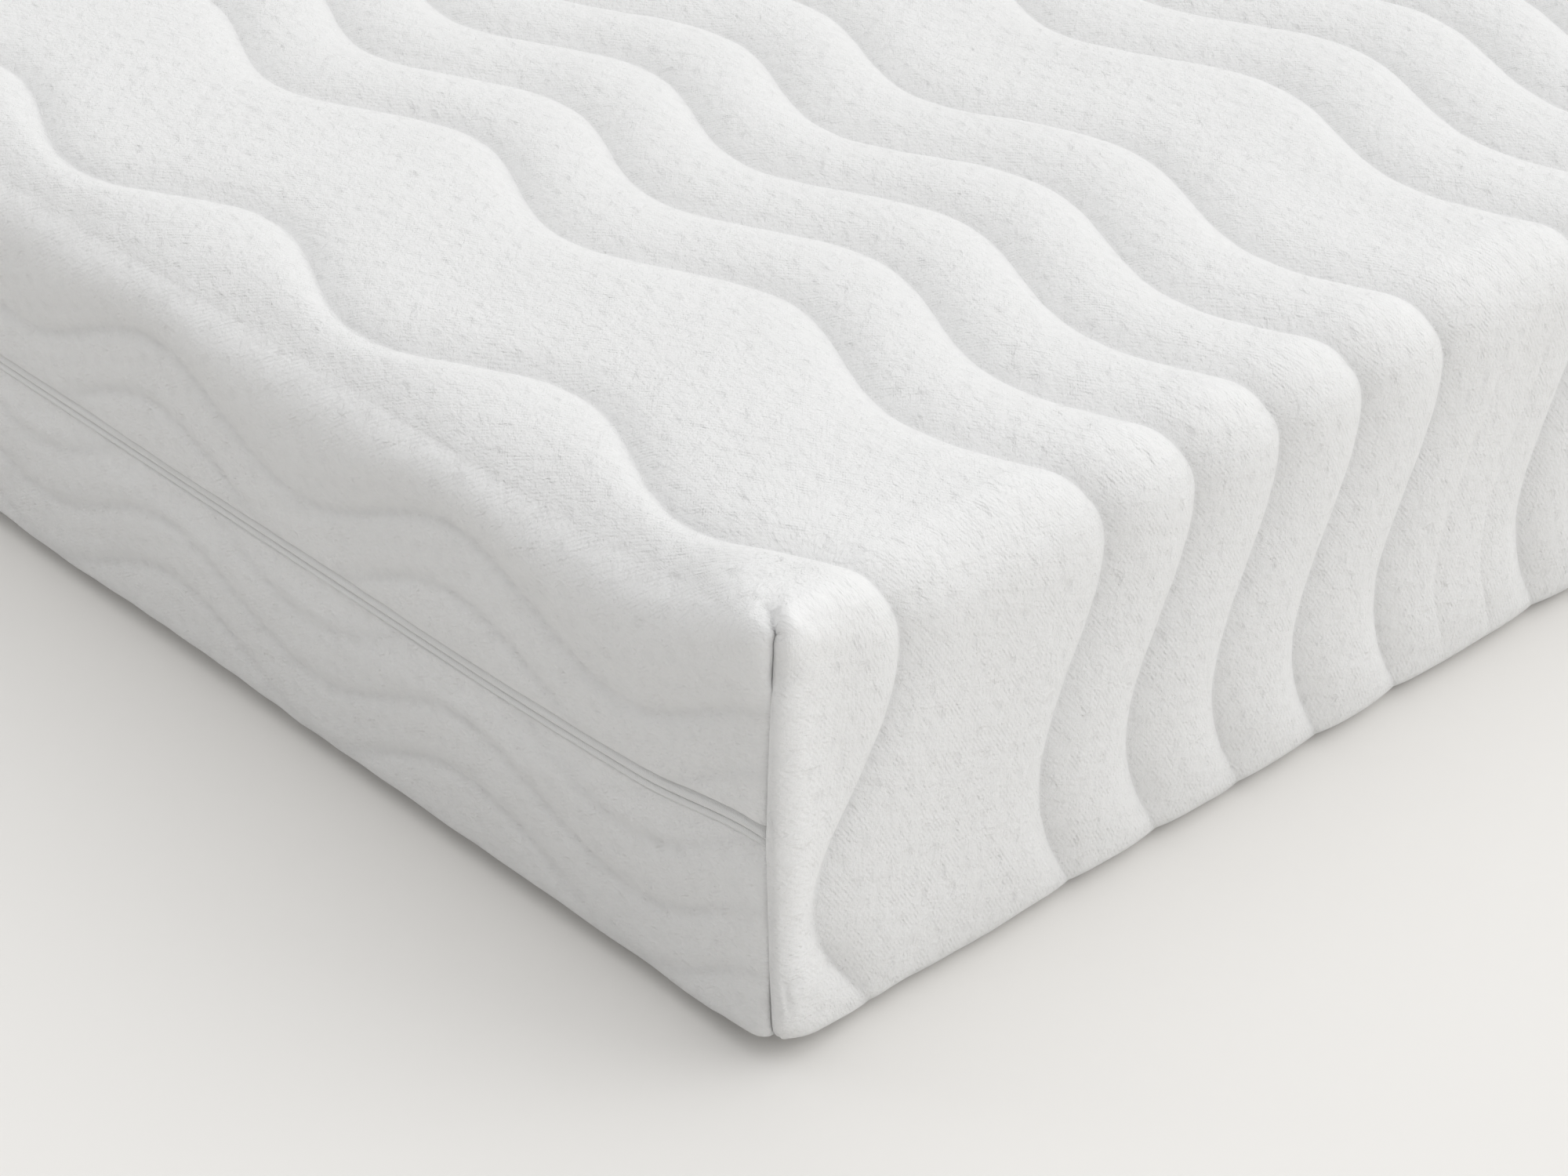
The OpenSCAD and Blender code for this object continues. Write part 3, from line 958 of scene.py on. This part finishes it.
def knit(name, pale, dark, dimple_depth, line_shade):
    """White double jersey: dimples on a slanted lattice over fine ribs, with painted shade in the dimples and
    in the quilting lines.
    """
    n = Nodes(name)
    where, s, t, line = n.sheet()
    wander = n.noise(where, 45.0, 2.0)
    shift = n.math("MULTIPLY_ADD", wander, 2.2, -1.1)
    waves = []
    for along_part, across_part in LATTICE:
        slope = n.math("MULTIPLY", s, along_part * 2 * math.pi)
        turn = n.math("MULTIPLY_ADD", t, across_part * 2 * math.pi, slope)
        waves.append(n.math("COSINE", n.math("ADD", turn, shift)))
    peak = n.math("ADD", waves[0], waves[1])
    dimple = n.map(peak, 0.5, 2.1)
    uneven = n.noise(where, 140.0, 1.0)
    dimple = n.math("MULTIPLY", dimple, n.math("MULTIPLY_ADD", uneven, 1.8, -0.2))
    slant = n.math("ADD", n.math("MULTIPLY", t, 0.86), n.math("MULTIPLY", s, 0.5))
    rib = n.math("SINE", n.math("MULTIPLY", slant, 2 * math.pi / (1.5 * MM)))
    loop = n.math("SINE", n.math("MULTIPLY", n.math("SUBTRACT", s, t), 2 * math.pi / (1.3 * MM)))
    yarn = n.math("MULTIPLY_ADD", loop, 0.35, rib)
    fuzz = n.noise(where, 700.0, 4.0, 0.7)
    cloud = n.noise(where, 170.0, 4.0, 0.6)
    worn = n.noise(where, 90.0, 3.0)
    yarn = n.math("MULTIPLY", yarn, n.map(worn, 0.35, 0.7, smooth=False))
    bumps = n.bump(n.math("SUBTRACT", 1.0, dimple), dimple_depth, strength=0.75)
    bumps = n.bump(cloud, 2.4 * MM, bumps, strength=0.7)
    bumps = n.bump(yarn, 0.1 * MM, bumps, strength=0.6)
    bumps = n.bump(fuzz, 0.9 * MM, bumps, strength=0.85)
    patch = n.noise(where, 11.0, 4.0)
    base = n.mix(patch, dark, pale)
    # painted shade: the base is darkened a little in each dimple, where the knit's pits would be in shade
    base = n.mix(n.math("MULTIPLY", dimple, 0.06), base, (0.5, 0.5, 0.5, 1))
    for noise, start, share in ((fuzz, 0.35, 0.22), (cloud, 0.4, 0.3)):
        shade = n.math("MULTIPLY", n.math("SUBTRACT", noise, start), share)
        base = n.mix(shade, base, (0.72, 0.72, 0.72, 1))
    # painted shade: the base is darkened near the quilting lines, by line_shade, for the shade in the
    # stitched valleys
    base = n.mix(n.math("MULTIPLY", line, line_shade), base, (0.42, 0.42, 0.43, 1))
    n.set(Base_Color=base, Roughness=0.88, Normal=bumps)
    n.set(Sheen_Weight=0.2, Sheen_Roughness=0.5, Specular_IOR_Level=0.2)
    return n.material


def plain_knit(name, pale, dark, rib_pitch):
    """A thin smooth jersey with fine ribs, for the lining and the sleeve, with painted shade near the
    quilting lines.
    """
    n = Nodes(name)
    where, s, t, line = n.sheet()
    rib = n.math("SINE", n.math("MULTIPLY", t, 2 * math.pi / rib_pitch))
    turn = n.math("MULTIPLY", s, 2 * math.pi / (rib_pitch * 0.7))
    loop = n.math("SINE", n.math("MULTIPLY_ADD", rib, 0.4, turn))
    yarn = n.math("MULTIPLY_ADD", loop, 0.6, rib)
    fuzz = n.noise(where, 600.0, 3.0)
    bumps = n.bump(yarn, 0.15 * MM, strength=0.7)
    bumps = n.bump(fuzz, 0.2 * MM, bumps, strength=0.6)
    patch = n.noise(where, 14.0, 3.0)
    base = n.mix(patch, dark, pale)
    # painted shade: the base is darkened near the quilting lines, for the shade in the stitched valleys
    base = n.mix(n.math("MULTIPLY", line, 0.35), base, (0.45, 0.45, 0.45, 1))
    n.set(Base_Color=base, Roughness=0.85, Normal=bumps, Sheen_Weight=0.2, Specular_IOR_Level=0.2)
    return n.material


def foam_material(name, pale, dark, cell):
    """Open-celled foam: many fine pores with painted shade in them, a few larger ones, faint clouding."""
    n = Nodes(name)
    where = n.add("TexCoord").outputs["Object"]
    pores = n.add("TexVoronoi", {"feature": "F1"}, Vector=where, Scale=1 / cell)
    big = n.add("TexVoronoi", {"feature": "F1"}, Vector=where, Scale=0.22 / cell)
    hole = n.map(pores.outputs["Distance"], 0.1, 0.45)
    pit = n.map(big.outputs["Distance"], 0.06, 0.16)
    bumps = n.bump(hole, 0.5 * MM, strength=0.7)
    bumps = n.bump(pit, 1.2 * MM, bumps, strength=0.6)
    cloud = n.noise(where, 7.0, 5.0)
    base = n.mix(cloud, dark, pale)
    # painted shade in the pores: a darker copy of the dark colour, strongest at the middle of each fine pore
    deep = tuple(c * 0.6 for c in dark[:3]) + (1,)
    base = n.mix(n.math("MULTIPLY", n.math("SUBTRACT", 1.0, hole), 0.3), base, deep)
    n.set(Base_Color=base, Roughness=0.95, Normal=bumps, Specular_IOR_Level=0.1)
    return n.material


def tape_material():
    """Woven polyester tape: a fine herringbone."""
    n = Nodes("zip_tape_weave")
    where, s, t, _ = n.sheet()
    zig = n.math("PINGPONG", t, 1.15 * MM)
    twill = n.math("SINE", n.math("MULTIPLY", n.math("ADD", s, zig), 2 * math.pi / (0.7 * MM)))
    grain = n.noise(where, 1200.0, 2.0)
    bumps = n.bump(twill, 0.09 * MM, strength=0.8)
    bumps = n.bump(grain, 0.08 * MM, bumps, strength=0.5)
    base = n.mix(n.math("MULTIPLY_ADD", twill, 0.5, 0.5), (0.84, 0.84, 0.835, 1), (0.92, 0.92, 0.915, 1))
    n.set(Base_Color=base, Roughness=0.6, Normal=bumps, Sheen_Weight=0.15)
    return n.material


def coil_material():
    """Polyester filament: smooth, slightly translucent white."""
    n = Nodes("zip_coil_filament")
    where = n.add("TexCoord").outputs["Object"]
    grain = n.noise(where, 900.0, 2.0)
    base = n.mix(grain, (0.74, 0.745, 0.74, 1), (0.84, 0.84, 0.83, 1))
    n.set(Base_Color=base, Roughness=0.35, Normal=n.bump(grain, 0.05 * MM, strength=0.4))
    n.set(Subsurface_Weight=0.1, Subsurface_Scale=0.5 * MM)
    return n.material


def metal_material():
    """White-lacquered die-cast zinc with a satin coat, worn a little to the metal in fine specks."""
    n = Nodes("zip_lacquered_metal")
    where = n.add("TexCoord").outputs["Object"]
    grain = n.noise(where, 500.0, 4.0)
    wear = n.noise(where, 1400.0, 3.0)
    speck = n.map(wear, 0.68, 0.74, smooth=False)
    base = n.mix(grain, (0.72, 0.72, 0.71, 1), (0.8, 0.8, 0.79, 1))
    base = n.mix(n.math("MULTIPLY", speck, 0.6), base, (0.42, 0.42, 0.42, 1))
    n.set(Base_Color=base, Normal=n.bump(grain, 0.05 * MM, strength=0.3))
    n.set(Roughness=n.math("MULTIPLY_ADD", grain, 0.2, 0.28))
    n.set(Metallic=0.15, Coat_Weight=0.4, Coat_Roughness=0.2)
    return n.material


def floor_material():
    n = Nodes("studio_floor")
    n.set(Base_Color=(0.83, 0.815, 0.79, 1), Roughness=0.75)
    return n.material


# ------------------------ the object


def dress(piece, material, body=None, replaced=()):
    """Gives a piece its one material, hides the CAD nodes that it replaces, and hangs it on the body it rides
    on.
    """
    piece.data.materials.clear()
    piece.data.materials.append(material)
    if replaced:
        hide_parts(*replaced)
    if body:
        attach(piece, body)
    return piece


def lining_cut(flaps, squares):
    """A lining's flat size and area: a panel with a flap half a wall high along each long side.

    Flaps is how many such flaps its two ends have together, and squares is how many squares of that height
    are cut out at its corners.
    """
    flap = FOLD - LINING_DEPTH
    width, length = 2 * (SIDE - LINING_DEPTH) + 2 * flap, 2 * (END - LINING_DEPTH) + flaps * flap
    return (width, length), width * length - squares * flap * flap


def hinge_blend(piece):
    """Bakes the piece's placement into its mesh."""
    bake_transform(piece)


jersey = knit("quilted_jersey", (0.915, 0.915, 0.91, 1), (0.885, 0.885, 0.88, 1), 0.55 * MM, 0.12)
backing = plain_knit("lining_tricot", (0.86, 0.86, 0.855, 1), (0.8, 0.8, 0.795, 1), 1.1 * MM)
stockinette = plain_knit("sleeve_stockinette", (0.88, 0.88, 0.87, 1), (0.8, 0.8, 0.79, 1), 1.6 * MM)
tape = tape_material()
filament = coil_material()
metal = metal_material()

upper = make_upper_cover()
dress(upper, jersey, replaced=("upper_cover_ticking", "upper_cover_wadding"))
hinge_blend(upper)
lower = make_lower_cover()
dress(lower, jersey, "mattress", ("lower_cover_ticking", "lower_cover_wadding"))

upper_lining = make_lining("cover_lining_upper", True)
dress(upper_lining, backing, replaced=("upper_cover_backing",))
hinge_blend(upper_lining)
lower_lining = make_lining("cover_lining_lower", False)
dress(lower_lining, backing, "mattress", ("lower_cover_backing",))

for half, up, body in (("upper", 1, "cover_top"), ("lower", -1, "mattress")):
    dress(make_tape("zip_tape_" + half, up), tape, body, (half + "_zip_tape",))
    dress(make_coil("zip_teeth_" + half, up), filament, body, (half + "_zip_coil",))
    dress(make_edging("lining_overlock_" + half, up), filament, body)

# the corner bindings end short of the zip, and of the rolls at the top and bottom edges
for half, low, high, body in (
    ("upper", LIP_HIGH + 4 * MM, 145 * MM, "cover_top"),
    ("lower", 35 * MM, LIP_LOW - 4 * MM, "mattress"),
):
    dress(make_bindings("corner_binding_" + half, low, high), tape, body, (half + "_corner_seams",))
    dress(make_stitching("corner_overlock_" + half, low, high), filament, body)

core_sleeve = make_sleeve()
dress(core_sleeve, stockinette, "mattress", ("core_sleeve",))
memory = make_foam("memory_foam", True)
cells = foam_material("memory_foam_cells", (0.80, 0.84, 0.88, 1), (0.74, 0.79, 0.84, 1), 1.1 * MM)
dress(memory, cells, "mattress", ("memory_foam_layer",))
support = make_foam("support_foam", False)
cells = foam_material("support_foam_cells", (0.86, 0.83, 0.74, 1), (0.81, 0.77, 0.67, 1), 1.7 * MM)
dress(support, cells, "mattress", ("support_foam_core",))

for piece, flaps, squares in ((upper_lining, 3, 6), (lower_lining, 1, 2)):
    flat, area = lining_cut(flaps, squares)

for node, material in (
    ("zip_slider_body", metal), ("zip_slider_bridge", metal), ("zip_pull_tab", metal),
    ("upper_zip_stops", metal), ("lower_zip_stops", metal),
):
    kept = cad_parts[node]
    kept.data.materials.clear()
    kept.data.materials.append(material)


# ------------------------ studio

# the sky's brightness is its level plus its slope times the direction
SKY_LEVEL = 0.35
SKY_SLOPE = (0.06, 0.41, 0.92)


def make_floor():
    bpy.ops.mesh.primitive_plane_add(size=30)
    floor = bpy.context.object
    floor.name = "floor"
    floor.data.materials.append(floor_material())


def aim(thing, place, target):
    thing.location = place
    thing.rotation_euler = (Vector(target) - Vector(place)).to_track_quat("-Z", "Y").to_euler()


def make_light(name, place, target, size, power, colour=(1, 1, 1)):
    light = bpy.data.lights.new(name, "AREA")
    light.shape = "RECTANGLE"
    light.size, light.size_y = size
    light.energy = power
    light.color = colour
    made = bpy.data.objects.new(name, light)
    bpy.context.collection.objects.link(made)
    aim(made, place, target)


def make_camera():
    lens = bpy.data.cameras.new("camera")
    lens.lens = 88.7
    lens.sensor_width = 36
    lens.clip_start = 0.05
    camera = bpy.data.objects.new("camera", lens)
    bpy.context.collection.objects.link(camera)
    camera.location = (END + 0.776, -SIDE - 0.711, 0.885)
    look = Vector((-0.6175, 0.5694, -0.5428))
    camera.rotation_euler = look.to_track_quat("-Z", "Y").to_euler()
    bpy.context.scene.camera = camera


def make_sky():
    """Soft studio light from all round: brightest overhead and behind, dimmer low down by the camera."""
    world = bpy.data.worlds.new("studio")
    bpy.context.scene.world = world
    world.use_nodes = True
    tree = world.node_tree

    def step(kind, operation, source, value):
        node = tree.nodes.new(kind)
        node.operation = operation
        node.inputs[1].default_value = value
        tree.links.new(source, node.inputs[0])
        return node.outputs["Value"]

    level = tree.nodes.new("ShaderNodeTexCoord").outputs["Generated"]
    level = step("ShaderNodeVectorMath", "DOT_PRODUCT", level, SKY_SLOPE)
    level = step("ShaderNodeMath", "ADD", level, SKY_LEVEL)
    level = step("ShaderNodeMath", "MAXIMUM", level, 0.05)
    tree.links.new(level, tree.nodes["Background"].inputs["Strength"])
    tree.nodes["Background"].inputs["Color"].default_value = (1, 1, 1, 1)


make_floor()
make_camera()
make_sky()
make_light("fill", (-0.3, -1.2, 0.7), (0.1, -0.45, 0.1), (0.6, 0.6), 1.3)
make_light("key", (3.2, 1.8, 1.9), (0.8, 0, 0.1), (2.4, 2.4), 19.5, (1, 0.995, 0.985))
bpy.context.scene.view_settings.view_transform = "Standard"
